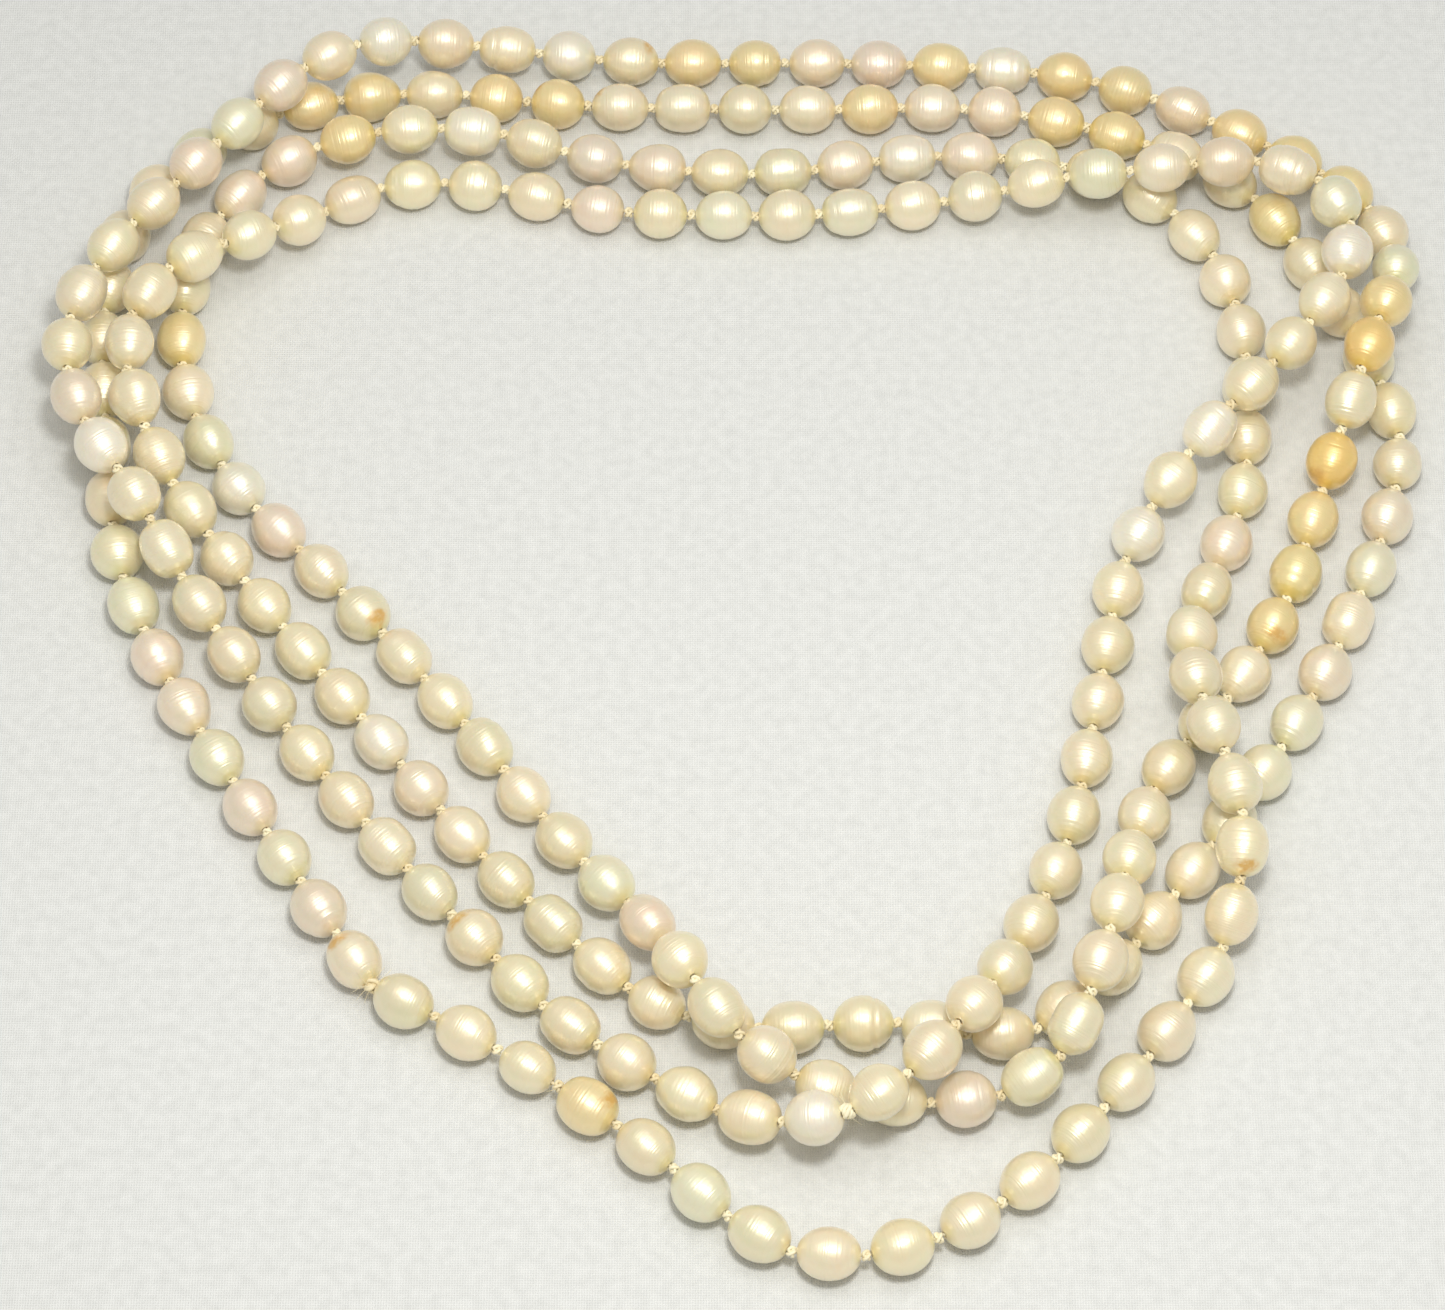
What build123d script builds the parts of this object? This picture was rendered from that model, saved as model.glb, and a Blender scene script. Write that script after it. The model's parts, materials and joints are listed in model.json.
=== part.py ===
from build123d import *
from math import acos, cos, exp, pi, radians, sin, tan
import os

# An endless rope of knotted freshwater pearls, laid flat on a table in four turns.
# +X is to the wearer's right as it lies, +Y to the far side, +Z up. Millimetres.

# Driving dimensions
HOLE_RADIUS = 0.50  # drilled hole
RIM_RADIUS = 0.66  # edge where the hole breaks out of the nacre
SILK_RADIUS = 0.175  # two strands of beading silk, twisted
KNOT_RING = 0.46  # a knot is a rolled loop: radius of the loop, then of its roll
KNOT_ROLL = 0.25
THICK_KNOT_RING = 0.70
THICK_KNOT_ROLL = 0.40
LINK_KNOT_RING = 0.40  # a bending knot is one piece with its length of silk
LINK_BACK = 0.25  # silk behind the middle of a link's own knot
LINK_CLEARANCE = 0.60  # silk stops this far before the next bending knot
OUTLINE_STEPS = 5  # stations each side of a pearl's middle
WAIST_WIDTH = 0.16  # width of a lobed pearl's groove, as a share of its half length
ARC_SHARE = 0.45  # share of the shorter run that an arc of the silk takes up

# Length, width, roundness of the ends, taper and waist of each kind of pearl
KINDS = {
    "o": (7.10, 6.20, 1.00, 0.00, 0.00),  # oval
    "r": (6.75, 6.34, 1.00, 0.00, 0.00),  # nearly round
    "b": (7.05, 6.10, 0.78, 0.00, 0.00),  # barrel
    "d": (7.15, 6.25, 0.95, 0.13, 0.00),  # drop, narrow where the silk goes in
    "t": (7.15, 6.25, 0.95, -0.13, 0.00),  # drop, narrow where the silk comes out
    "l": (7.20, 6.15, 0.90, 0.00, 0.07),  # two lobes with a groove between them
    "s": (6.55, 5.95, 1.00, 0.04, 0.00),  # small
}
WIDTH_SPREAD = 0.12  # natural pearls differ a little from one to the next
LENGTH_SPREAD = 0.08

# The lie of the strand, in the order that the silk runs: stretch, kinds of its pearls, route.
# A pearl that lies on the table has its drill axis 3.3 above it; one that crosses another is at 10.
STRETCHES = [
    ("turn_1_left", "ooroodobroodooroorot",
     [(-40, -46.5, 3.3), (-50, -31, 3.3), (-64, -9, 3.3), (-73, 9.5, 3.3), (-75.5, 30, 3.3),
      (-77.5, 48, 3.3), (-74, 67, 3.3), (-58.5, 80, 3.3)]),
    ("turn_1_top", "orrobroooroobo",
     [(-39.5, 83.6, 3.3), (-20, 80.8, 3.3), (9.5, 80.2, 3.3), (32, 80.8, 3.3), (51, 76.5, 3.3)]),
    ("turn_1_right", "ooroosoolooroodoo",
     [(67, 67.5, 3.3), (74.5, 54.5, 3.3), (80.5, 40, 3.3), (83.5, 28.5, 3.3), (79.5, 13.5, 3.3),
      (70, -8.5, 3.3), (56, -29.5, 3.3), (44, -45.5, 3.3)]),
    ("turn_1_bottom", "obroosolo",
     [(34, -53.8, 3.3), (19, -50.8, 3.3), (5, -52.4, 3.3), (-8, -49.6, 3.3)]),
    ("turn_2_left", "orooboroodobtoro",
     [(-26.3, -31.8, 3.3), (-41.5, -12.3, 3.3), (-56.5, 7, 3.3), (-66.5, 20.5, 5.5), (-72, 31.5, 9.3),
      (-73.3, 42, 9.9), (-68.5, 50.5, 10.3), (-60.5, 55.5, 8.8), (-51, 63.5, 3.3)]),
    ("turn_2_top", "orosrooboroo",
     [(-42, 68.6, 3.3), (-30, 68.3, 3.3), (-15.5, 63.9, 3.3), (9, 63, 3.3), (31, 65.9, 3.3),
      (43, 66, 7.9)]),
    ("turn_2_right", "oobrooroboroorooro",
     [(54.5, 65.5, 10.3), (66, 67, 10.3), (74.2, 64.2, 10.3), (78, 58.5, 10.3), (77.6, 51, 10.2), (70.8, 40, 9.8),
      (61.5, 29.5, 10.2), (54, 21.5, 6), (48, 11, 3.3), (44.5, -8, 3.3), (40.3, -28, 3.3)]),
    ("turn_2_bottom", "ororrbor",
     [(33.5, -43.5, 4.8), (29, -51.5, 10), (22, -60.5, 10.6), (13.5, -66.2, 9.2), (3, -64.3, 4),
      (-6, -59.5, 3.3)]),
    ("turn_3_left", "borolooroobroorbooo",
     [(-19, -50.8, 3.3), (-36.5, -31.4, 3.3), (-51, -13, 3.3), (-63.5, 5.5, 5.2), (-70.5, 17, 9.8),
      (-78.5, 29, 10), (-81, 41, 9.8), (-76.5, 53, 10.1), (-67.5, 64.5, 10)]),
    ("turn_3_top", "ooorobroosoooboroo",
     [(-61, 73, 10), (-54, 81.5, 10.1), (-45, 87.8, 8.5), (-33, 89.6, 5), (-12, 87.8, 3.3),
      (20, 88, 3.3), (49, 85.6, 3.3)]),
    ("turn_3_right", "ooosroboobotooooo",
     [(70, 74.2, 3.3), (80.2, 66.8, 3.3), (84.3, 58.5, 3.6), (83.8, 50.3, 7.5), (80, 41.5, 10.3),
      (76.8, 32, 9.8), (72.8, 21, 3.8), (67.3, 4.5, 3.3), (60, -8, 3.3), (51.5, -18, 3.3), (48, -27.5, 5),
      (45.3, -38, 10.2)]),
    ("turn_3_bottom", "olbrooror",
     [(42.3, -49, 10.4), (37.5, -58.6, 6.2), (29.5, -61.3, 3.3), (19.5, -61.3, 3.3), (11.5, -60.2, 3.5),
      (1.5, -56.3, 9.9), (-3.8, -48.3, 10.3)]),
    ("turn_4_left", "booobolroorooboooo",
     [(-8.6, -39.2, 5.4), (-18.3, -28, 3.3), (-31, -10.5, 3.3), (-45.5, 7, 3.3), (-60, 22.5, 3.3),
      (-67.2, 38, 3.3), (-67.2, 57.5, 3.3), (-58, 71.2, 3.3)]),
    ("turn_4_top", "ooboodolobooo",
     [(-44.5, 75, 6), (-30, 75.2, 6), (-15.5, 71.3, 3.9), (4, 69.4, 3.3), (30, 73.7, 3.3)]),
    ("turn_4_right", "oorodooobrordboo",
     [(52.5, 69.2, 3.3), (62.8, 56, 3.3), (65, 42, 3.3), (63.8, 22, 3.3), (59.3, 9.5, 3.3),
      (54.8, -1, 6.2), (55.8, -12, 10.4), (59.5, -24, 10.3), (60, -33, 9), (57, -43, 3.6),
      (53, -48.8, 3.3)]),
]
# The outermost run at the near side lies clear of the rest, and its knots bend
FREE_KINDS = "dooorooooobsoo"
FREE_ROUTE = [(53, -48.8, 3.3), (48, -56, 3.3), (35.5, -71, 3.3), (21.5, -80, 3.3), (6, -80.8, 3.3),
              (-9, -66, 3.3), (-25.5, -54.5, 3.3), (-40, -46.5, 3.3)]
THICK_KNOT = 110  # the knot at the near side that was tied off thick, counted along the silk
ORIGIN = Vector(1.8, 4.6, 0.07)  # middle of the laid rope, under its lowest pearl
TURNS = ("turn_1", "turn_2", "turn_3", "turn_4")


def arc_radii(points):
    """The bend radius at each inner point of a silk route, as large as its two runs allow."""
    radii = []
    for before, corner, after in zip(points, points[1:], points[2:]):
        run_in, run_out = corner - before, after - corner
        half_turn = radians(run_in.get_angle(run_out)) / 2
        radii.append(ARC_SHARE * min(run_in.length, run_out.length) / tan(half_turn))
    return radii


def lie_along(middle, direction):
    """The place of a piece that is modelled along X, with its Z kept as upright as it can be."""
    sideways = Vector(0, 0, 1).cross(direction)
    return Plane(origin=middle, x_dir=direction, z_dir=direction.cross(sideways)).location


def pearl_size(kind, index):
    """Length and width of a pearl, a little different from one to the next."""
    length, width = KINDS[kind][:2]
    return length + LENGTH_SPREAD * sin(1.7 * index), width + WIDTH_SPREAD * sin(2.4 * index)


def pearl(kind, length, width):
    """A drilled pearl with its hole along X: a turned nacre body with a rim at each end."""
    roundness, taper, waist = KINDS[kind][2:]
    last = acos((2 * RIM_RADIUS / width) ** (1 / roundness))
    outline = []
    for step in range(-OUTLINE_STEPS, OUTLINE_STEPS + 1):
        angle = last * step / OUTLINE_STEPS
        along = sin(angle) / sin(last)
        groove = 1 - waist * exp(-((along / WAIST_WIDTH) ** 2))
        radius = width / 2 * cos(angle) ** roundness * (1 + taper * along) * groove
        outline.append((length / 2 * along, radius))
    hole = Polyline(outline[-1], (length / 2, HOLE_RADIUS), (-length / 2, HOLE_RADIUS), outline[0])
    return revolve(make_face(Spline(*outline) + hole), Axis.X)


def knot(ring, roll):
    """A knot pulled tight round the silk, its hole along X."""
    return Rot(0, 90, 0) * Torus(ring, roll)


def silk_link(length):
    """One length of silk along X with its own knot at the origin, ending short of the next knot."""
    reach = length - LINK_CLEARANCE
    silk = Pos((reach - LINK_BACK) / 2, 0, 0) * Rot(0, 90, 0) * Cylinder(SILK_RADIUS, reach + LINK_BACK)
    return silk + knot(LINK_KNOT_RING, KNOT_ROLL)


def write(node, shapes):
    """One node: a STEP file with its solids."""
    export_step(Compound(children=shapes) if len(shapes) > 1 else shapes[0], f"parts/{node}.step")


os.makedirs("parts", exist_ok=True)

# The fixed silk, one path for its whole length
route = [Vector(*point) - ORIGIN for _, _, points in STRETCHES for point in points]
radii = arc_radii(route)
print("silk bend radii", [round(radius, 1) for radius in radii])
path = FilletPolyline(*route, radius=radii)
length = path.length
kinds = "".join(stretch_kinds for _, stretch_kinds, _ in STRETCHES)
pitch = length / len(kinds)
print("fixed silk", round(length, 1), "mm,", len(kinds), "pearls, pitch", round(pitch, 3))

# Pearls of the fixed part, each on the chord of the silk inside it
index = 0
for name, stretch_kinds, _ in STRETCHES:
    pearls = []
    for kind in stretch_kinds:
        long, wide = pearl_size(kind, index)
        middle = (index + 0.5) * pitch
        enters, leaves = (path @ ((middle + side * long / 2) / length) for side in (-1, 1))
        centre = ((enters + leaves) / 2 + path @ (middle / length)) / 2
        pearls.append(lie_along(centre, (leaves - enters).normalized()) * pearl(kind, long, wide))
        index += 1
    write(f"{name}_pearls", pearls)

# Knots of the fixed part, one between each pair of pearls, and the two thick ones
knots = {turn: [] for turn in TURNS}
counts = [sum(len(kinds_) for name, kinds_, _ in STRETCHES if name.startswith(turn)) for turn in TURNS]
for index in range(1, len(kinds)):
    place = lie_along(path @ (index * pitch / length), path % (index * pitch / length))
    if index == THICK_KNOT:
        write("thick_knot", [place * knot(THICK_KNOT_RING, THICK_KNOT_ROLL)])
    else:
        turn = next(i for i in range(4) if index <= sum(counts[: i + 1]))
        knots[TURNS[turn]].append(place * knot(KNOT_RING, KNOT_ROLL))
for turn in TURNS:
    write(f"{turn}_knots", knots[turn])
write("closing_knot", [lie_along(path @ 0, path % 0) * knot(THICK_KNOT_RING, THICK_KNOT_ROLL)])

# The fixed silk as four tubes that meet face to face in the middle of a run
last_run = (route[-1] - route[-2]).normalized()
start, first = route[0], 0
for turn in TURNS:
    inner = sum(len(points) for name, _, points in STRETCHES if name[:6] <= turn)
    if turn == TURNS[-1]:
        inner -= 1
        end = route[-1] - last_run * LINK_CLEARANCE
    else:
        end = (route[inner - 1] + route[inner]) / 2
    skipped = 1 if first == 0 else first
    tube_path = FilletPolyline(start, *route[skipped:inner], end, radius=radii[skipped - 1:inner - 1])
    tube = sweep(Plane(origin=start, z_dir=tube_path % 0) * Circle(SILK_RADIUS), path=tube_path)
    ratio = tube.volume / (pi * SILK_RADIUS**2 * tube_path.length)
    print(turn, "silk", round(tube_path.length, 1), "mm, volume over section times length", round(ratio, 4))
    write(f"{turn}_silk", [tube])
    start, first = end, inner

# The free run: each length of silk hinges at its own knot, and each pearl turns on its silk
free_route = [Vector(*point) - ORIGIN for point in FREE_ROUTE]
free_path = FilletPolyline(*free_route, radius=arc_radii(free_route))
ties = [free_path @ (i / len(FREE_KINDS)) for i in range(len(FREE_KINDS) + 1)]
for number, (kind, tie, next_tie) in enumerate(zip(FREE_KINDS, ties, ties[1:]), 1):
    along = next_tie - tie
    long, wide = pearl_size(kind, number)
    write(f"free_link_{number:02d}", [lie_along(tie, along.normalized()) * silk_link(along.length)])
    place = lie_along((tie + next_tie) / 2, along.normalized())
    write(f"free_pearl_{number:02d}", [place * pearl(kind, long, wide)])
    print(f"free_link_{number:02d}", [round(v, 3) for v in tie], [round(v, 4) for v in along.normalized()])
print("free run", round(free_path.length, 1), "mm, pitch", round(free_path.length / len(FREE_KINDS), 3))
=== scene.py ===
import json
from math import cos, pi, radians, sin, tau

import bpy
import numpy as np
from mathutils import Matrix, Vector


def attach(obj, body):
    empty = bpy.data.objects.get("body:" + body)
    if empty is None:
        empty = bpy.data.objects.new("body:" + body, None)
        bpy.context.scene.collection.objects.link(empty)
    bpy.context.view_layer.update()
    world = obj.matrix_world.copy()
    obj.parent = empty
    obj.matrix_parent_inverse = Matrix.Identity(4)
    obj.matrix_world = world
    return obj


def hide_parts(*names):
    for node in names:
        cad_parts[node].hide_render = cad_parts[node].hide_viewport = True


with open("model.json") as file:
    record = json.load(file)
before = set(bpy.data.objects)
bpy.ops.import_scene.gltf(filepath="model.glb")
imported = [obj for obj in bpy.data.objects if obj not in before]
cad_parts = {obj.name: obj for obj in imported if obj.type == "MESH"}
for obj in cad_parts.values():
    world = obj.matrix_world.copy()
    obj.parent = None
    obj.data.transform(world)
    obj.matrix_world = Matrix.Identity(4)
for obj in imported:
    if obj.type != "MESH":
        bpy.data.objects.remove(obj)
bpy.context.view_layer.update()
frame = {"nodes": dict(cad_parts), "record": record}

scene = bpy.context.scene
scene.view_settings.view_transform = "Standard"

# The viewer stands on the near side of the table and looks down at the laid rope.
# A long lens keeps the strands nearly parallel.
LOOK_DOWN = radians(58)
VIEW_DISTANCE = 0.58
FILM_WIDTH = 36
LENS = 120.6
LOOK_AT = Vector((-0.0018, -0.0046, 0))
camera_data = bpy.data.cameras.new("camera")
camera_data.lens = LENS
camera_data.sensor_width = FILM_WIDTH
camera = bpy.data.objects.new("camera", camera_data)
towards_viewer = Vector((0, -cos(LOOK_DOWN), sin(LOOK_DOWN)))
camera.location = LOOK_AT + VIEW_DISTANCE * towards_viewer
camera.rotation_euler = (pi / 2 - LOOK_DOWN, 0, 0)
scene.collection.objects.link(camera)
scene.camera = camera


# Silk beading cord: two strands of cream silk twisted together, 0.35 mm through, in one piece
# from the closing knot through every drilled hole. Here it is in four turns that meet in mid run.
SILK_DIAMETER = 0.00035
ROPE_MIDDLE = Vector((0.0018, 0.0046, 0.00007))
TURN_ROUTES = {
    "turn_1": [
        (-0.04, -0.0465, 0.0033), (-0.05, -0.031, 0.0033), (-0.064, -0.009, 0.0033),
        (-0.073, 0.0095, 0.0033), (-0.0755, 0.03, 0.0033), (-0.0775, 0.048, 0.0033),
        (-0.074, 0.067, 0.0033), (-0.0585, 0.08, 0.0033), (-0.0395, 0.0836, 0.0033),
        (-0.02, 0.0808, 0.0033), (0.0095, 0.0802, 0.0033), (0.032, 0.0808, 0.0033),
        (0.051, 0.0765, 0.0033), (0.067, 0.0675, 0.0033), (0.0745, 0.0545, 0.0033),
        (0.0805, 0.04, 0.0033), (0.0835, 0.0285, 0.0033), (0.0795, 0.0135, 0.0033),
        (0.07, -0.0085, 0.0033), (0.056, -0.0295, 0.0033), (0.044, -0.0455, 0.0033),
        (0.034, -0.0538, 0.0033), (0.019, -0.0508, 0.0033), (0.005, -0.0524, 0.0033),
        (-0.008, -0.0496, 0.0033),
    ],
    "turn_2": [
        (-0.0263, -0.0318, 0.0033), (-0.0415, -0.0123, 0.0033), (-0.0565, 0.007, 0.0033),
        (-0.0665, 0.0205, 0.0055), (-0.072, 0.0315, 0.0093), (-0.0733, 0.042, 0.0099),
        (-0.0685, 0.0505, 0.0103), (-0.0605, 0.0555, 0.0088), (-0.051, 0.0635, 0.0033),
        (-0.042, 0.0686, 0.0033), (-0.03, 0.0683, 0.0033), (-0.0155, 0.0639, 0.0033),
        (0.009, 0.063, 0.0033), (0.031, 0.0659, 0.0033), (0.043, 0.066, 0.0079),
        (0.0545, 0.0655, 0.0103), (0.066, 0.067, 0.0103), (0.0742, 0.0642, 0.0103),
        (0.078, 0.0585, 0.0103), (0.0776, 0.051, 0.0102), (0.0708, 0.04, 0.0098),
        (0.0615, 0.0295, 0.0102), (0.054, 0.0215, 0.006), (0.048, 0.011, 0.0033),
        (0.0445, -0.008, 0.0033), (0.0403, -0.028, 0.0033), (0.0335, -0.0435, 0.0048),
        (0.029, -0.0515, 0.01), (0.022, -0.0605, 0.0106), (0.0135, -0.0662, 0.0092),
        (0.003, -0.0643, 0.004), (-0.006, -0.0595, 0.0033),
    ],
    "turn_3": [
        (-0.019, -0.0508, 0.0033), (-0.0365, -0.0314, 0.0033), (-0.051, -0.013, 0.0033),
        (-0.0635, 0.0055, 0.0052), (-0.0705, 0.017, 0.0098), (-0.0785, 0.029, 0.01),
        (-0.081, 0.041, 0.0098), (-0.0765, 0.053, 0.0101), (-0.0675, 0.0645, 0.01),
        (-0.061, 0.073, 0.01), (-0.054, 0.0815, 0.0101), (-0.045, 0.0878, 0.0085),
        (-0.033, 0.0896, 0.005), (-0.012, 0.0878, 0.0033), (0.02, 0.088, 0.0033),
        (0.049, 0.0856, 0.0033), (0.07, 0.0742, 0.0033), (0.0802, 0.0668, 0.0033),
        (0.0843, 0.0585, 0.0036), (0.0838, 0.0503, 0.0075), (0.08, 0.0415, 0.0103),
        (0.0768, 0.032, 0.0098), (0.0728, 0.021, 0.0038), (0.0673, 0.0045, 0.0033),
        (0.06, -0.008, 0.0033), (0.0515, -0.018, 0.0033), (0.048, -0.0275, 0.005),
        (0.0453, -0.038, 0.0102), (0.0423, -0.049, 0.0104), (0.0375, -0.0586, 0.0062),
        (0.0295, -0.0613, 0.0033), (0.0195, -0.0613, 0.0033), (0.0115, -0.0602, 0.0035),
        (0.0015, -0.0563, 0.0099), (-0.0038, -0.0483, 0.0103),
    ],
    "turn_4": [
        (-0.0086, -0.0392, 0.0054), (-0.0183, -0.028, 0.0033), (-0.031, -0.0105, 0.0033),
        (-0.0455, 0.007, 0.0033), (-0.06, 0.0225, 0.0033), (-0.0672, 0.038, 0.0033),
        (-0.0672, 0.0575, 0.0033), (-0.058, 0.0712, 0.0033), (-0.0445, 0.075, 0.006),
        (-0.03, 0.0752, 0.006), (-0.0155, 0.0713, 0.0039), (0.004, 0.0694, 0.0033),
        (0.03, 0.0737, 0.0033), (0.0525, 0.0692, 0.0033), (0.0628, 0.056, 0.0033),
        (0.065, 0.042, 0.0033), (0.0638, 0.022, 0.0033), (0.0593, 0.0095, 0.0033),
        (0.0548, -0.001, 0.0062), (0.0558, -0.012, 0.0104), (0.0595, -0.024, 0.0103),
        (0.06, -0.033, 0.009), (0.057, -0.043, 0.0036), (0.053, -0.0488, 0.0033),
    ],
}

# Fine grain that silk and nacre both have: a small-scale relief, and the same grain as a value
fine_grain = bpy.data.node_groups.new("fine_grain", "ShaderNodeTree")
for socket_name, socket_type in (("Place", "NodeSocketVector"), ("Scale", "NodeSocketFloat"),
                                 ("Detail", "NodeSocketFloat"), ("Strength", "NodeSocketFloat"),
                                 ("Depth", "NodeSocketFloat")):
    fine_grain.interface.new_socket(socket_name, in_out="INPUT", socket_type=socket_type)
fine_grain.interface.new_socket("Grain", in_out="OUTPUT", socket_type="NodeSocketFloat")
fine_grain.interface.new_socket("Normal", in_out="OUTPUT", socket_type="NodeSocketVector")
grain_in = fine_grain.nodes.new("NodeGroupInput")
grain_out = fine_grain.nodes.new("NodeGroupOutput")
grain_noise = fine_grain.nodes.new("ShaderNodeTexNoise")
grain_bump = fine_grain.nodes.new("ShaderNodeBump")
fine_grain.links.new(grain_in.outputs["Place"], grain_noise.inputs["Vector"])
fine_grain.links.new(grain_in.outputs["Scale"], grain_noise.inputs["Scale"])
fine_grain.links.new(grain_in.outputs["Detail"], grain_noise.inputs["Detail"])
fine_grain.links.new(grain_in.outputs["Strength"], grain_bump.inputs["Strength"])
fine_grain.links.new(grain_in.outputs["Depth"], grain_bump.inputs["Distance"])
fine_grain.links.new(grain_noise.outputs["Fac"], grain_bump.inputs["Height"])
fine_grain.links.new(grain_noise.outputs["Fac"], grain_out.inputs["Grain"])
fine_grain.links.new(grain_bump.outputs["Normal"], grain_out.inputs["Normal"])


def place_grain(material, place, scale, detail, strength, depth):
    """Put the fine grain in a material, with that material's own values."""
    grain = material.node_tree.nodes.new("ShaderNodeGroup")
    grain.node_tree = fine_grain
    own_values = {"Scale": scale, "Detail": detail, "Strength": strength, "Depth": depth}
    for socket_name, value in own_values.items():
        grain.inputs[socket_name].default_value = value
    material.node_tree.links.new(place.outputs["Object"], grain.inputs["Place"])
    return grain


# Silk colour: cream with a warm, slightly soiled tone and fine filaments along the thread
silk_paint = bpy.data.materials.new("silk")
silk_paint.use_nodes = True
silk_nodes, silk_links = silk_paint.node_tree.nodes, silk_paint.node_tree.links
silk_shader = silk_nodes["Principled BSDF"]
silk_shader.inputs["Sheen Weight"].default_value = 0.35
silk_shader.inputs["Sheen Roughness"].default_value = 0.4
silk_place = silk_nodes.new("ShaderNodeTexCoord")
silk_soil = silk_nodes.new("ShaderNodeTexNoise")
silk_soil.inputs["Scale"].default_value = 180
silk_soil.inputs["Detail"].default_value = 3
silk_links.new(silk_place.outputs["Object"], silk_soil.inputs["Vector"])
silk_tone = silk_nodes.new("ShaderNodeValToRGB")
silk_tone.color_ramp.elements[0].position = 0.35
silk_tone.color_ramp.elements[0].color = (0.80, 0.68, 0.42, 1)
silk_tone.color_ramp.elements[1].position = 0.62
silk_tone.color_ramp.elements[1].color = (0.93, 0.86, 0.62, 1)
silk_links.new(silk_soil.outputs["Fac"], silk_tone.inputs["Fac"])
silk_links.new(silk_tone.outputs["Color"], silk_shader.inputs["Base Color"])
silk_fibre = place_grain(silk_paint, silk_place, scale=9000, detail=4, strength=0.5, depth=0.00004)
silk_links.new(silk_fibre.outputs["Normal"], silk_shader.inputs["Normal"])
silk_gloss = silk_nodes.new("ShaderNodeMapRange")
silk_gloss.inputs["To Min"].default_value = 0.45
silk_gloss.inputs["To Max"].default_value = 0.75
silk_links.new(silk_fibre.outputs["Grain"], silk_gloss.inputs["Value"])
silk_links.new(silk_gloss.outputs["Result"], silk_shader.inputs["Roughness"])


def silk_curve(name, points):
    """A thread that follows the given points, as a smooth NURBS curve."""
    curve = bpy.data.curves.new(name, "CURVE")
    curve.dimensions = "3D"
    curve.resolution_u = 16
    spline = curve.splines.new("NURBS")
    spline.points.add(len(points) - 1)
    for control, point in zip(spline.points, points):
        control.co = (*point, 1)
    spline.order_u = 3
    spline.use_endpoint_u = True
    return curve


turn_names = list(TURN_ROUTES)
routes = {turn: [Vector(p) - ROPE_MIDDLE for p in points] for turn, points in TURN_ROUTES.items()}
leaves_at = routes["turn_1"][0]
for turn, next_turn in zip(turn_names, turn_names[1:] + [None]):
    thread_points = list(routes[turn])
    if turn != "turn_1":
        thread_points.insert(0, leaves_at)
    if next_turn:
        meets_at = (routes[turn][-1] + routes[next_turn][0]) / 2
        thread_points.append(meets_at)
    thread = bpy.data.objects.new(f"{turn}_silk_thread", silk_curve(f"{turn}_silk", thread_points))
    thread.data.bevel_depth = SILK_DIAMETER / 2
    thread.data.bevel_resolution = 3
    thread.data.use_fill_caps = True
    thread.data.materials.append(silk_paint)
    scene.collection.objects.link(thread)
    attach(thread, "laid_rope")
    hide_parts(f"{turn}_silk")
    leaves_at = meets_at


# The pearls: freshwater nacre all the way through, grown round a scrap of tissue, so no two are
# quite alike. Each is drilled end to end. First their colours and growth marks, in threading order.
# c cream, s silver white, p pink, g pale green, y yellow cream, o gold
TINTS = {
    "c": (0.90, 0.80, 0.56), "s": (0.92, 0.855, 0.69), "p": (0.90, 0.765, 0.59),
    "g": (0.87, 0.82, 0.58), "y": (0.91, 0.735, 0.38), "o": (0.91, 0.64, 0.21),
}
# o orange stain, r growth rings, d dented, m matt, w blemish
PEARL_LOOKS = {
    "turn_1_left": ("cpgpgppggcccccccgcyy", "o.....r............."),
    "turn_1_top": ("cyyccccyppyycc", "..oo.o.o...rw."),
    "turn_1_right": ("ycccccpgcpggccccc", "................."),
    "turn_1_bottom": ("ccccccccc", "..r...d.."),
    "turn_2_left": ("cpsccccccccccccc", "......r.r.r....."),
    "turn_2_top": ("cccpcgcgcccg", "..........w."),
    "turn_2_right": ("ppcgscccscsccccccc", "..r..............."),
    "turn_2_bottom": ("ccccsccc", "......r."),
    "turn_3_left": ("cccgccccccccspccccp", ".ro.....d......r..."),
    "turn_3_top": ("gpcspcscyyppysyypy", ".....r.o...o.r...."),
    "turn_3_right": ("yycgyocoyyycccccc", ".....o.o.ro...o.."),
    "turn_3_bottom": ("ccgpccccc", ".r......."),
    "turn_4_left": ("pgcccccccpsgcyccpp", "...or.ro.........."),
    "turn_4_top": ("ycscppccpspgc", "...d...r.r..."),
    "turn_4_right": ("cccccccpcccccccc", "........rm..ro.."),
}
FREE_LOOKS = ("ccccccccgcyccc", "..........o...")
ROUND_STEPS = 40
LENGTH_STEPS = 56
RIM_RADIUS = 0.00066
HOLE_RADIUS = 0.00034
HOLE_DEPTH = 0.0009

# How far growth departs from the round, as shares of the radius, and how many marks there are
OVAL_SECTION = (0.004, 0.018)
LUMPS = 4
LUMP_HEIGHT = (0.005, 0.017)
RING_PLACE = (0.35, 0.88)
RING_WIDTH = (0.045, 0.085)
FAINT_RING, DEEP_RING = (0.008, 0.022), (0.024, 0.042)
SHALLOW_DENT, DEEP_DENT = (0.006, 0.018), (0.03, 0.05)
BEND = 0.012


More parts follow.
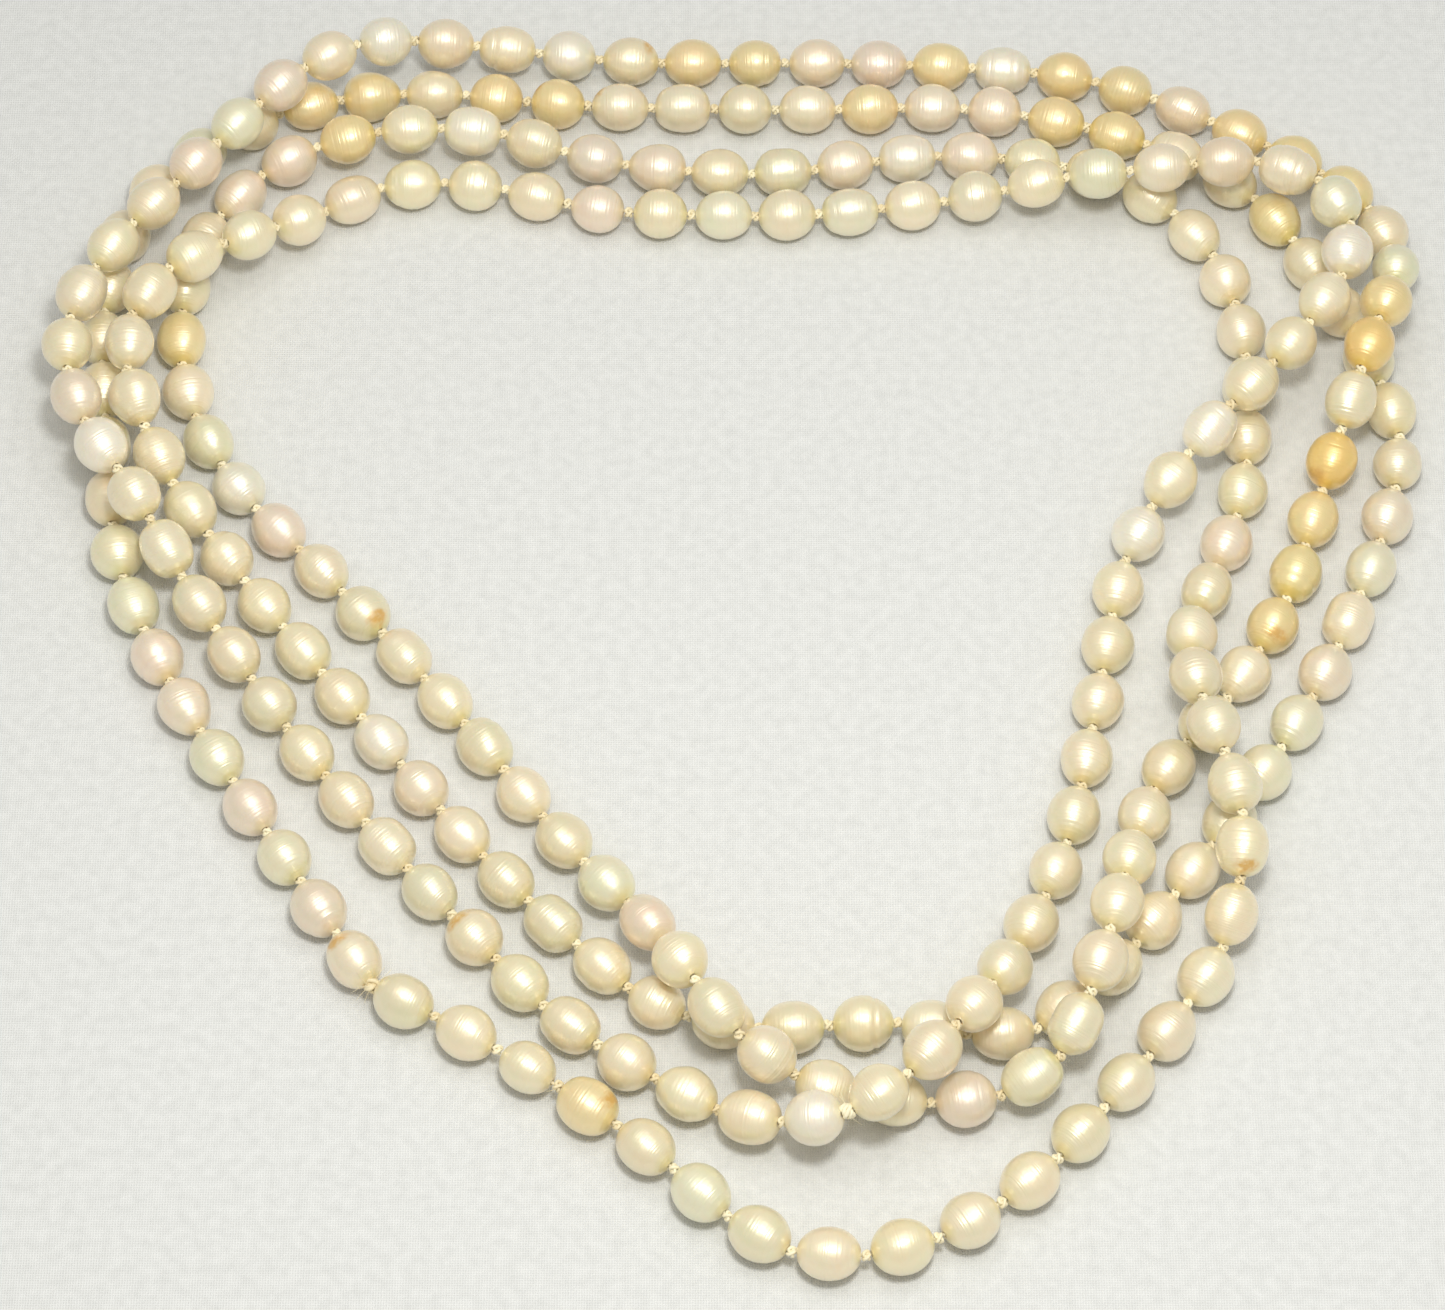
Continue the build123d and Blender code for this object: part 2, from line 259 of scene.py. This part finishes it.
def measure_pearl(corners, guess):
    """Middle, hole direction, half length and outline of one drilled CAD pearl."""
    direction = np.array(guess)
    for _ in range(2):
        reach = corners @ direction
        near_end = corners[reach < reach.min() + 0.00008].mean(axis=0)
        far_end = corners[reach > reach.max() - 0.00008].mean(axis=0)
        direction = (far_end - near_end) / np.linalg.norm(far_end - near_end)
    middle = (near_end + far_end) / 2
    along = (corners - middle) @ direction
    across = np.linalg.norm(corners - middle - np.outer(along, direction), axis=1)
    half_length = np.abs(along).max()
    skin = across > RIM_RADIUS * 0.97
    outline = np.polyfit(along[skin] / half_length, across[skin] ** 2, 6)
    return middle, direction, half_length, outline


def grow_pearl(middle, direction, half_length, outline, tint, mark, seed):
    """Corners, faces, colours and marks of one natural pearl round the outline of its CAD form."""
    chance = np.random.default_rng(seed)
    direction = np.array(direction)
    side = np.cross(direction, (0.0, 0.0, 1.0))
    side /= np.linalg.norm(side)
    up = np.cross(side, direction)
    spread = np.sin(np.linspace(-pi / 2, pi / 2, LENGTH_STEPS))
    turn = np.arange(ROUND_STEPS) * tau / ROUND_STEPS
    place, angle = np.meshgrid(spread, turn, indexing="ij")
    radius = np.sqrt(np.maximum(np.polyval(outline, place), RIM_RADIUS**2))
    shoulder = np.clip(1 - np.abs(place), 0, 1) ** 0.5

    # Off-round growth: an oval section, slow lumps, and marks of its own
    swell = chance.uniform(*OVAL_SECTION) * np.cos(2 * (angle - chance.uniform(0, tau)))
    for _ in range(LUMPS):
        waves, lag = chance.integers(1, 4), chance.uniform(0, tau)
        twist = chance.uniform(-3, 3)
        swell += chance.uniform(*LUMP_HEIGHT) * np.sin(waves * angle + lag + twist * place)
    ring_count = chance.integers(3, 6) if mark == "r" else chance.integers(0, 4)
    for _ in range(ring_count):
        ring_at = chance.choice((-1, 1)) * chance.uniform(*RING_PLACE)
        ring_width = chance.uniform(*RING_WIDTH)
        ring_depth = chance.uniform(*(DEEP_RING if mark == "r" else FAINT_RING))
        wander = ring_at + 0.03 * np.sin(angle + chance.uniform(0, tau))
        swell -= ring_depth * np.exp(-(((place - wander) / ring_width) ** 2))
    dents = 3 if mark == "d" else chance.integers(0, 3)
    for _ in range(dents):
        dent_at, dent_turn = chance.uniform(-0.7, 0.7), chance.uniform(0, tau)
        deep = chance.uniform(*(DEEP_DENT if mark == "d" else SHALLOW_DENT))
        away = (place - dent_at) ** 2 / 0.03 + (1 - np.cos(angle - dent_turn)) / 0.05
        swell -= deep * np.exp(-away)
    radius *= 1 + swell * shoulder
    bend = chance.uniform(-BEND, BEND, 2) * half_length
    lean = 1 - place**2

    colour = np.ones((*place.shape, 3)) * tint * chance.uniform(0.96, 1.03)
    colour += np.array([chance.uniform(-0.015, 0.015), 0.0, chance.uniform(-0.02, 0.02)])
    warm_ends = np.clip(np.abs(place) - 0.72, 0, 1)[..., None] * np.array((0.0, -0.08, -0.45))
    colour += warm_ends * chance.uniform(0.3, 1.2)
    patch_turn = chance.uniform(0, tau)
    patch = 0.5 + 0.5 * np.cos(angle - patch_turn + place * chance.uniform(-2, 2))
    overtone = np.array([(0.05, -0.03, -0.01), (-0.05, 0.01, -0.02), (0.02, -0.02, -0.08)][seed % 3])
    colour += patch[..., None] * overtone * 0.3
    stain = np.zeros(place.shape)
    if mark == "o":
        stain_at = chance.choice((-1, 1)) * chance.uniform(0.55, 0.85)
        stain_turn = chance.uniform(pi * 0.15, pi * 0.85) + (pi if chance.random() < 0.4 else 0)
        away = (place - stain_at) ** 2 / 0.05 + (1 - np.cos(angle - stain_turn)) / 0.25
        stain = np.exp(-away)
    stain = np.maximum(stain, 0.12 * np.clip((np.abs(place) - 0.88) / 0.12, 0, 1))
    matt = np.full(place.shape, 1.0 if mark == "m" else chance.uniform(0.0, 0.25))
    if mark == "w":
        blemish = (place - 0.1) ** 2 / 0.02 + (1 - np.cos(angle - pi / 2)) / 0.05
        matt += 0.8 * np.exp(-blemish)

    # Rolled edge of the hole, then a short way down inside it; growth lines run round the hole. Inside the
    # hole the colour is painted darker as shade, and the rolled edge a touch darker.
    hole_rows = [(RIM_RADIUS * 0.82, -0.00002), (HOLE_RADIUS * 1.12, 0.00001),
                 (HOLE_RADIUS, 0.00008), (HOLE_RADIUS, HOLE_DEPTH)]
    rows = [(-1, hole_row) for hole_row in reversed(hole_rows)]
    rows += [(0, step) for step in range(LENGTH_STEPS)]
    rows += [(1, hole_row) for hole_row in hole_rows]
    growth = place + 0.05 * np.sin(angle + patch_turn) + 5.0 * seed
    corners, tones, stains, matts, growths = [], [], [], [], []
    for end, row in rows:
        if end == 0:
            along, wide = place[row] * half_length, radius[row]
            offset = lean[row][:, None] * (bend[0] * side + bend[1] * up)
            tones.append(colour[row])
            stains.append(stain[row])
            matts.append(matt[row])
            growths.append(growth[row])
        else:
            edge = 0 if end < 0 else -1
            along = np.full(ROUND_STEPS, end * (half_length - row[1]))
            wide = np.full(ROUND_STEPS, row[0])
            offset = 0
            # Painted shade: the colour inside the drill hole is darkened to 0.85, and at the rolled edge to
            # 0.98
            tones.append(colour[edge] * (0.85 if row[1] > 0.00005 else 0.98))
            stains.append(stain[edge])
            matts.append(matt[edge])
            growths.append(growth[edge])
        ring = middle + along[:, None] * direction + offset
        ring = ring + wide[:, None] * (np.cos(turn)[:, None] * side + np.sin(turn)[:, None] * up)
        corners.append(ring)
    faces = []
    for row in range(len(rows) - 1):
        first, second = row * ROUND_STEPS, (row + 1) * ROUND_STEPS
        for step in range(ROUND_STEPS):
            after = (step + 1) % ROUND_STEPS
            faces.append((first + step, first + after, second + after, second + step))
    return (np.concatenate(corners), faces, np.clip(np.concatenate(tones), 0, 0.97),
            np.concatenate(stains), np.clip(np.concatenate(matts), 0, 1), np.concatenate(growths))


# Nacre: satin-bright, faintly see-through layers with a pink and green play of colour, ivory to
# gold at the drill holes, with stains and matt blemishes kept on the pearl's own surface.
nacre = bpy.data.materials.new("nacre")
nacre.use_nodes = True
nacre_nodes, nacre_links = nacre.node_tree.nodes, nacre.node_tree.links
nacre_shader = nacre_nodes["Principled BSDF"]
nacre_shader.inputs["IOR"].default_value = 1.66
nacre_shader.inputs["Specular IOR Level"].default_value = 0.95
nacre_shader.inputs["Metallic"].default_value = 0.28
nacre_shader.inputs["Subsurface Weight"].default_value = 0.35
nacre_shader.inputs["Subsurface Radius"].default_value = (1.0, 0.82, 0.55)
nacre_shader.inputs["Subsurface Scale"].default_value = 0.0022
nacre_shader.inputs["Coat Weight"].default_value = 0.7
nacre_shader.inputs["Coat Roughness"].default_value = 0.25
nacre_shader.inputs["Coat IOR"].default_value = 1.6
nacre_shader.inputs["Sheen Weight"].default_value = 0.18
nacre_shader.inputs["Sheen Roughness"].default_value = 0.35
nacre_shader.inputs["Sheen Tint"].default_value = (1.0, 0.97, 0.90, 1)
nacre_place = nacre_nodes.new("ShaderNodeTexCoord")
tint_of = nacre_nodes.new("ShaderNodeAttribute")
tint_of.attribute_name = "tint"
stain_of = nacre_nodes.new("ShaderNodeAttribute")
stain_of.attribute_name = "stain"
matt_of = nacre_nodes.new("ShaderNodeAttribute")
matt_of.attribute_name = "matt"

cloudy = nacre_nodes.new("ShaderNodeTexNoise")
cloudy.inputs["Scale"].default_value = 420
cloudy.inputs["Detail"].default_value = 3
cloudy.inputs["Roughness"].default_value = 0.55
nacre_links.new(nacre_place.outputs["Object"], cloudy.inputs["Vector"])
play = nacre_nodes.new("ShaderNodeValToRGB")
play.color_ramp.elements[0].position = 0.30
play.color_ramp.elements[0].color = (0.95, 0.99, 0.95, 1)
play.color_ramp.elements[1].position = 0.70
play.color_ramp.elements[1].color = (1.0, 0.955, 0.94, 1)
middle_tone = play.color_ramp.elements.new(0.5)
middle_tone.color = (1, 1, 1, 1)
nacre_links.new(cloudy.outputs["Fac"], play.inputs["Fac"])
layered = nacre_nodes.new("ShaderNodeMix")
layered.data_type = "RGBA"
layered.blend_type = "MULTIPLY"
layered.inputs["Factor"].default_value = 0.9
nacre_links.new(tint_of.outputs["Color"], layered.inputs["A"])
nacre_links.new(play.outputs["Color"], layered.inputs["B"])

stain_edge = nacre_nodes.new("ShaderNodeTexNoise")
stain_edge.inputs["Scale"].default_value = 1500
stain_edge.inputs["Detail"].default_value = 4
nacre_links.new(nacre_place.outputs["Object"], stain_edge.inputs["Vector"])
stain_break = nacre_nodes.new("ShaderNodeMath")
stain_break.operation = "MULTIPLY"
nacre_links.new(stain_of.outputs["Fac"], stain_break.inputs[0])
nacre_links.new(stain_edge.outputs["Fac"], stain_break.inputs[1])
stain_mask = nacre_nodes.new("ShaderNodeMapRange")
stain_mask.inputs["From Min"].default_value = 0.10
stain_mask.inputs["From Max"].default_value = 0.42
nacre_links.new(stain_break.outputs[0], stain_mask.inputs["Value"])
stained = nacre_nodes.new("ShaderNodeMix")
stained.data_type = "RGBA"
nacre_links.new(stain_mask.outputs["Result"], stained.inputs["Factor"])
nacre_links.new(layered.outputs["Result"], stained.inputs["A"])
stained.inputs["B"].default_value = (0.76, 0.46, 0.11, 1)

nacre_links.new(stained.outputs["Result"], nacre_shader.inputs["Base Color"])

gloss_break = nacre_nodes.new("ShaderNodeMath")
gloss_break.operation = "MULTIPLY_ADD"
gloss_break.inputs[1].default_value = 0.22
gloss_break.inputs[2].default_value = 0.29
nacre_links.new(matt_of.outputs["Fac"], gloss_break.inputs[0])
gloss_cloud = nacre_nodes.new("ShaderNodeMath")
gloss_cloud.operation = "MULTIPLY_ADD"
gloss_cloud.inputs[1].default_value = 0.10
nacre_links.new(cloudy.outputs["Fac"], gloss_cloud.inputs[0])
nacre_links.new(gloss_break.outputs[0], gloss_cloud.inputs[2])
nacre_links.new(gloss_cloud.outputs[0], nacre_shader.inputs["Roughness"])

# Faint skin grain, and fine growth lines round the drill hole that break up the gloss
skin_grain = place_grain(nacre, nacre_place, scale=1300, detail=2, strength=0.6, depth=0.00006)
growth_of = nacre_nodes.new("ShaderNodeAttribute")
growth_of.attribute_name = "growth"
growth_lines = nacre_nodes.new("ShaderNodeTexNoise")
growth_lines.noise_dimensions = "1D"
growth_lines.inputs["Scale"].default_value = 13
growth_lines.inputs["Detail"].default_value = 3
nacre_links.new(growth_of.outputs["Fac"], growth_lines.inputs["W"])
growth_bump = nacre_nodes.new("ShaderNodeBump")
growth_bump.inputs["Strength"].default_value = 0.75
growth_bump.inputs["Distance"].default_value = 0.0001
nacre_links.new(growth_lines.outputs["Fac"], growth_bump.inputs["Height"])
nacre_links.new(skin_grain.outputs["Normal"], growth_bump.inputs["Normal"])
nacre_links.new(growth_bump.outputs["Normal"], nacre_shader.inputs["Normal"])


def string_pearls(name, grown):
    """One mesh object from a list of grown pearls, with their colours kept as attributes."""
    mesh = bpy.data.meshes.new(name)
    corners = np.concatenate([pearl[0] for pearl in grown])
    faces, first = [], 0
    for pearl in grown:
        faces += [tuple(first + corner for corner in face) for face in pearl[1]]
        first += len(pearl[0])
    mesh.from_pydata(corners.tolist(), [], faces)
    mesh.polygons.foreach_set("use_smooth", [True] * len(faces))
    tint = mesh.attributes.new("tint", "FLOAT_COLOR", "POINT")
    tones = np.concatenate([pearl[2] for pearl in grown])
    tint.data.foreach_set("color", np.hstack([tones, np.ones((len(tones), 1))]).ravel())
    for attribute, column in (("stain", 3), ("matt", 4), ("growth", 5)):
        values = mesh.attributes.new(attribute, "FLOAT", "POINT")
        values.data.foreach_set("value", np.concatenate([pearl[column] for pearl in grown]))
    mesh.materials.append(nacre)
    piece = bpy.data.objects.new(name, mesh)
    scene.collection.objects.link(piece)
    return piece


def node_corners(node):
    """Corners of a CAD node's mesh, in metres."""
    mesh = frame["nodes"][node].data
    corners = np.empty(len(mesh.vertices) * 3)
    mesh.vertices.foreach_get("co", corners)
    return corners.reshape(-1, 3)


# The whole fixed silk as one smooth line, to know where each pearl and knot sits on it
whole_route = [point for turn in turn_names for point in routes[turn]]
whole_curve = bpy.data.objects.new("whole_silk_line", silk_curve("whole_silk_line", whole_route))
line_mesh = bpy.data.meshes.new_from_object(whole_curve)
silk_line = np.array([vertex.co[:] for vertex in line_mesh.vertices])
bpy.data.meshes.remove(line_mesh)
bpy.data.objects.remove(whole_curve)
line_steps = np.linalg.norm(np.diff(silk_line, axis=0), axis=1)
line_reach = np.concatenate([[0], np.cumsum(line_steps)])
fixed_count = sum(len(tints) for tints, _ in PEARL_LOOKS.values())
pitch = line_reach[-1] / fixed_count


def on_silk(count):
    """Point and direction of the silk at that many pearls from the closing knot."""
    ends = [
        np.array([np.interp(count * pitch + shift, line_reach, axis) for axis in silk_line.T])
        for shift in (-0.0004, 0, 0.0004)
    ]
    direction = ends[2] - ends[0]
    return ends[1], direction / np.linalg.norm(direction)


# The fixed pearls lie where the CAD has them, one string for each stretch of the four turns.
pearl_ends = []
count = 0
for stretch, (tints, marks) in PEARL_LOOKS.items():
    corners = node_corners(f"{stretch}_pearls")
    guesses = [on_silk(count + i + 0.5) for i in range(len(tints))]
    middles = np.array([guess[0] for guess in guesses])
    for _ in range(4):
        owner = np.linalg.norm(corners[:, None] - middles[None], axis=2).argmin(axis=1)
        middles = np.array([
            (corners[owner == i].min(axis=0) + corners[owner == i].max(axis=0)) / 2 for i in range(len(tints))
        ])
    grown = []
    for i, (tint, mark) in enumerate(zip(tints, marks)):
        measured = measure_pearl(corners[owner == i], guesses[i][1])
        pearl_ends.append((measured[0], measured[1], measured[2]))
        grown.append(grow_pearl(*measured, TINTS[tint], mark, count + i))
    string = string_pearls(f"{stretch}_pearl_string", grown)
    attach(string, "laid_rope")
    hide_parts(f"{stretch}_pearls")
    count += len(tints)

# The free pearls at the near side, each on its own length of silk
joints = {joint["name"]: joint for joint in frame["record"]["behaviour"]["joints"]}
for i, (tint, mark) in enumerate(zip(*FREE_LOOKS), 1):
    spin = joints[f"pearl_{i:02d}_spin"]
    measured = measure_pearl(node_corners(f"free_pearl_{i:02d}"), spin["axis"])
    grown = grow_pearl(*measured, TINTS[tint], mark, count + i)
    free_pearl = string_pearls(f"free_pearl_{i:02d}_nacre", [grown])
    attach(free_pearl, f"pearl_{i:02d}")
    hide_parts(f"free_pearl_{i:02d}")


# The knots: a single overhand knot in the silk after every pearl, pushed down to the drill hole
# before it is pulled tight. Each is a rolled loop of the two twisted strands.
KNOT_LOOP = 0.00037
KNOT_ROLL = 0.00029
STRAND_RADIUS = 0.00020
LOOP_STEPS = 54
STRAND_SIDES = 8


def strand_tube(centre_line, radius, closed=False, plies=2, twist=0.0):
    """Corners and faces of a strand whose section has one bulge for each ply."""
    line = np.array(centre_line)
    if closed:
        ahead = np.roll(line, -1, axis=0) - np.roll(line, 1, axis=0)
    else:
        ahead = np.gradient(line, axis=0)
    ahead /= np.linalg.norm(ahead, axis=1)[:, None]
    normal = np.cross(ahead[0], (0.31, 0.52, 0.79))
    normal /= np.linalg.norm(normal)
    corners, faces = [], []
    angle = np.arange(STRAND_SIDES) * tau / STRAND_SIDES
    for step, (point, forward) in enumerate(zip(line, ahead)):
        normal = normal - forward * (normal @ forward)
        normal /= np.linalg.norm(normal)
        across = np.cross(forward, normal)
        size = radius[step] if np.ndim(radius) else radius
        bulge = 1 + 0.12 * np.cos(plies * (angle - twist * step))
        corners.append(point + size * (bulge * np.cos(angle))[:, None] * normal
                       + size * (bulge * np.sin(angle))[:, None] * across)
    rows = len(line)
    for row in range(rows if closed else rows - 1):
        first, second = row * STRAND_SIDES, ((row + 1) % rows) * STRAND_SIDES
        for side in range(STRAND_SIDES):
            after = (side + 1) % STRAND_SIDES
            faces.append((first + side, first + after, second + after, second + side))
    if not closed:
        faces.append(tuple(reversed(range(STRAND_SIDES))))
        faces.append(tuple((rows - 1) * STRAND_SIDES + side for side in range(STRAND_SIDES)))
    return np.concatenate(corners), faces


def overhand_knot(middle, direction, seed, size=1.0):
    """A tight overhand knot round the silk, as one closed strand."""
    chance = np.random.default_rng(1000 + seed)
    forward = np.array(direction)
    side = np.cross(forward, (0.0, 0.0, 1.0))
    side /= np.linalg.norm(side)
    up = np.cross(side, forward)
    lag, squeeze = chance.uniform(0, tau), chance.uniform(0.85, 1.12)
    step = np.arange(LOOP_STEPS) * tau / LOOP_STEPS
    swing = KNOT_LOOP * size * (1 + 0.38 * np.cos(3 * step + lag)) * squeeze
    travel = KNOT_ROLL * size * np.sin(3 * step + lag) * 1.15
    line = (middle + travel[:, None] * forward + (swing * np.cos(2 * step))[:, None] * side
            + (swing * np.sin(2 * step))[:, None] * up * chance.uniform(0.85, 1.0))
    return strand_tube(line, STRAND_RADIUS * size ** 0.5, closed=True, twist=0.9)


def loose_fibres(middle, direction, seed, number, longest):
    """Broken silk filaments that stand out of a worn knot."""
    chance = np.random.default_rng(2000 + seed)
    forward = np.array(direction)
    pieces = []
    for _ in range(number):
        heading = chance.normal(size=3)
        heading -= 0.7 * forward * (heading @ forward)
        heading[2] = abs(heading[2]) * 0.5
        heading /= np.linalg.norm(heading)
        curl = np.cross(heading, chance.normal(size=3)) * chance.uniform(0.2, 0.8)
        length = chance.uniform(0.35, 1.0) * longest
        share = np.linspace(0, 1, 9)[:, None]
        line = middle + length * (share * heading + share**2 * curl * 0.6)
        line[:, 2] = np.maximum(line[:, 2], 0.00005)
        pieces.append(strand_tube(line, np.linspace(0.00004, 0.000018, 9), twist=0.4))
    return pieces


def silk_piece(name, parts):
    """One mesh object of silk strands."""
    corners, faces, first = [], [], 0
    for part_corners, part_faces in parts:
        corners.append(part_corners)
        faces += [tuple(first + corner for corner in face) for face in part_faces]
        first += len(part_corners)
    mesh = bpy.data.meshes.new(name)
    mesh.from_pydata(np.concatenate(corners).tolist(), [], faces)
    mesh.polygons.foreach_set("use_smooth", [True] * len(faces))
    mesh.materials.append(silk_paint)
    piece = bpy.data.objects.new(name, mesh)
    scene.collection.objects.link(piece)
    return piece


# Single knots of the fixed turns, between each pearl and the next
THICK_KNOT = 110
WORN_KNOTS = {36: 4}
WORN_FIBRE = 0.0022
turn_of_count, running = {}, 0
for stretch, (tints, _) in PEARL_LOOKS.items():
    for i in range(len(tints)):
        turn_of_count[running + i] = stretch[:6]
    running += len(tints)
knot_parts = {turn: [] for turn in turn_names}
for knot in range(1, fixed_count):
    before, after = pearl_ends[knot - 1], pearl_ends[knot]
    leaving = before[0] + before[1] * before[2]
    entering = after[0] - after[1] * after[2]
    middle = (leaving + entering) / 2
    direction = after[0] - before[0]
    direction = direction / np.linalg.norm(direction)
    if knot == THICK_KNOT:
        thick_place = (middle, direction)
        continue
    parts = [overhand_knot(middle, direction, knot)]
    if knot in WORN_KNOTS:
        parts += loose_fibres(middle, direction, knot, WORN_KNOTS[knot], WORN_FIBRE)
    knot_parts[turn_of_count[knot - 1]] += parts
for turn in turn_names:
    knots = silk_piece(f"{turn}_silk_knots", knot_parts[turn])
    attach(knots, "laid_rope")
    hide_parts(f"{turn}_knots")

# Two thick knots where the silk was tied off: several turns over one another, with broken ends
thick_parts = [overhand_knot(*thick_place, 900 + i, size) for i, size in enumerate((1.0, 1.35, 1.6))]
thick_parts += loose_fibres(*thick_place, 910, 9, 0.0026)
thick = silk_piece("thick_knot_silk", thick_parts)
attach(thick, "laid_rope")
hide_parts("thick_knot")
first_pearl = pearl_ends[0]
closing_place = (np.array(routes["turn_1"][0]), first_pearl[1])
closing_parts = [overhand_knot(*closing_place, 920 + i, size) for i, size in enumerate((1.0, 1.3, 1.55))]
closing_parts += loose_fibres(*closing_place, 930, 12, 0.0030)
closing = silk_piece("closing_knot_silk", closing_parts)
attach(closing, "laid_rope")
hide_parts("closing_knot")

# Each length of silk in the free run bends at its own knot, so knot and thread are one piece
LINK_CLEARANCE = 0.0006
free_count = len(FREE_LOOKS[0])
for i in range(1, free_count + 1):
    start = np.array(joints[f"knot_{i:02d}_bend"]["pos_m"])
    halfway = np.array(joints[f"pearl_{i:02d}_spin"]["pos_m"])
    direction = (halfway - start) / np.linalg.norm(halfway - start)
    length = 2 * np.linalg.norm(halfway - start) - LINK_CLEARANCE
    steps = np.linspace(-0.00025, length, 60)[:, None]
    thread = strand_tube(start + steps * direction, SILK_DIAMETER / 2, twist=0.35)
    parts = [thread, overhand_knot(start, direction, 700 + i)]
    if i == 12:
        parts += loose_fibres(start, direction, 740 + i, 5, 0.0024)
    link = silk_piece(f"free_link_{i:02d}_silk", parts)
    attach(link, f"link_{i:02d}")
    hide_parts(f"free_link_{i:02d}")


# The table: a fine off-white linen cloth laid flat under the rope. It is a plain weave, each
# warp and weft thread going over one and under the next, and it stands in relief.
TABLE_SIZE = 4.0
WEAVE_PITCH = 0.0003
table_mesh = bpy.data.meshes.new("table_linen")
half = TABLE_SIZE / 2
table_corners = [(-half, -half, 0), (half, -half, 0), (half, half, 0), (-half, half, 0)]
table_mesh.from_pydata(table_corners, [], [(0, 1, 2, 3)])
table = bpy.data.objects.new("table_linen", table_mesh)
scene.collection.objects.link(table)
linen = bpy.data.materials.new("linen")
linen.use_nodes = True
linen_nodes, linen_links = linen.node_tree.nodes, linen.node_tree.links
linen_shader = linen_nodes["Principled BSDF"]
linen_shader.inputs["Roughness"].default_value = 0.9
linen_place = linen_nodes.new("ShaderNodeTexCoord")


def thread_wave(axis, pitch):
    """A wave along one axis of the cloth, from 0 to 1 and back in one pitch."""
    wave = linen_nodes.new("ShaderNodeTexWave")
    wave.wave_type = "BANDS"
    wave.bands_direction = axis
    wave.inputs["Scale"].default_value = tau / 20 / pitch
    wave.inputs["Distortion"].default_value = 0.9
    wave.inputs["Detail"].default_value = 2
    wave.inputs["Detail Scale"].default_value = 0.4
    linen_links.new(linen_place.outputs["Object"], wave.inputs["Vector"])
    return wave.outputs["Fac"]


def linen_math(operation, first, second, third=None):
    """One step of arithmetic on the cloth's relief."""
    node = linen_nodes.new("ShaderNodeMath")
    node.operation = operation
    for socket, value in zip(node.inputs, (first, second, third)):
        if isinstance(value, (int, float)):
            socket.default_value = value
        elif value is not None:
            linen_links.new(value, socket)
    return node.outputs[0]


# Warp and weft threads, each high where it passes over the other
warp, weft = thread_wave("X", WEAVE_PITCH), thread_wave("Y", WEAVE_PITCH)
slow_warp = linen_math("MULTIPLY_ADD", thread_wave("X", 2 * WEAVE_PITCH), 2.0, -1.0)
slow_weft = linen_math("MULTIPLY_ADD", thread_wave("Y", 2 * WEAVE_PITCH), 2.0, -1.0)
over = linen_math("MULTIPLY_ADD", linen_math("MULTIPLY", slow_warp, slow_weft), 0.4, 0.6)
under = linen_math("SUBTRACT", 1.2, over)
weave = linen_math("MAXIMUM", linen_math("MULTIPLY", warp, over), linen_math("MULTIPLY", weft, under))
weave_bump = linen_nodes.new("ShaderNodeBump")
weave_bump.inputs["Strength"].default_value = 0.9
weave_bump.inputs["Distance"].default_value = 0.0001
linen_links.new(weave, weave_bump.inputs["Height"])

# The cloth lies in faint waves, and its slubs are a touch darker; the low places of the weave are painted
# darker as shade
ripple = linen_nodes.new("ShaderNodeTexNoise")
ripple.inputs["Scale"].default_value = 9
ripple.inputs["Detail"].default_value = 2
linen_links.new(linen_place.outputs["Object"], ripple.inputs["Vector"])
ripple_bump = linen_nodes.new("ShaderNodeBump")
ripple_bump.inputs["Strength"].default_value = 0.5
ripple_bump.inputs["Distance"].default_value = 0.001
linen_links.new(ripple.outputs["Fac"], ripple_bump.inputs["Height"])
linen_links.new(weave_bump.outputs["Normal"], ripple_bump.inputs["Normal"])
linen_links.new(ripple_bump.outputs["Normal"], linen_shader.inputs["Normal"])
slub = linen_nodes.new("ShaderNodeTexNoise")
slub.inputs["Scale"].default_value = 700
slub.inputs["Detail"].default_value = 5
linen_links.new(linen_place.outputs["Object"], slub.inputs["Vector"])
slub_tone_and_weave_shade = linen_nodes.new("ShaderNodeValToRGB")
slub_tone_and_weave_shade.color_ramp.elements[0].position = 0.25
slub_tone_and_weave_shade.color_ramp.elements[0].color = (0.655, 0.662, 0.640, 1)
slub_tone_and_weave_shade.color_ramp.elements[1].position = 1.0
slub_tone_and_weave_shade.color_ramp.elements[1].color = (0.800, 0.807, 0.785, 1)
# The slubs' own darker tone, plus painted shade where the weave lies low between threads
linen_links.new(linen_math("MULTIPLY_ADD", weave, 0.6, slub.outputs["Fac"]), slub_tone_and_weave_shade.inputs["Fac"])
linen_links.new(slub_tone_and_weave_shade.outputs["Color"], linen_shader.inputs["Base Color"])
table_mesh.materials.append(linen)


# Studio light: a small soft lamp over the viewer's side of the rope gives the pearls their
# highlights. A wide one overhead and a pale room keep the shadows light.
def soft_lamp(name, place, width, power, colour):
    """A square soft lamp aimed at the middle of the rope."""
    lamp_data = bpy.data.lights.new(name, "AREA")
    lamp_data.size = width
    lamp_data.energy = power
    lamp_data.color = colour
    lamp = bpy.data.objects.new(name, lamp_data)
    lamp.location = place
    aim = Vector((0, 0, 0)) - Vector(place)
    lamp.rotation_euler = aim.to_track_quat("-Z", "Y").to_euler()
    scene.collection.objects.link(lamp)


soft_lamp("key_lamp", (0.025, -0.125, 0.40), 0.06, 0.74, (1.0, 0.995, 0.975))
soft_lamp("overhead_lamp", (0.02, -0.02, 0.42), 0.36, 0.70, (1.0, 0.99, 0.965))
room = bpy.data.worlds.new("room")
room.use_nodes = True
room.node_tree.nodes["Background"].inputs["Color"].default_value = (0.50, 0.495, 0.48, 1)
room.node_tree.nodes["Background"].inputs["Strength"].default_value = 0.90
scene.world = room
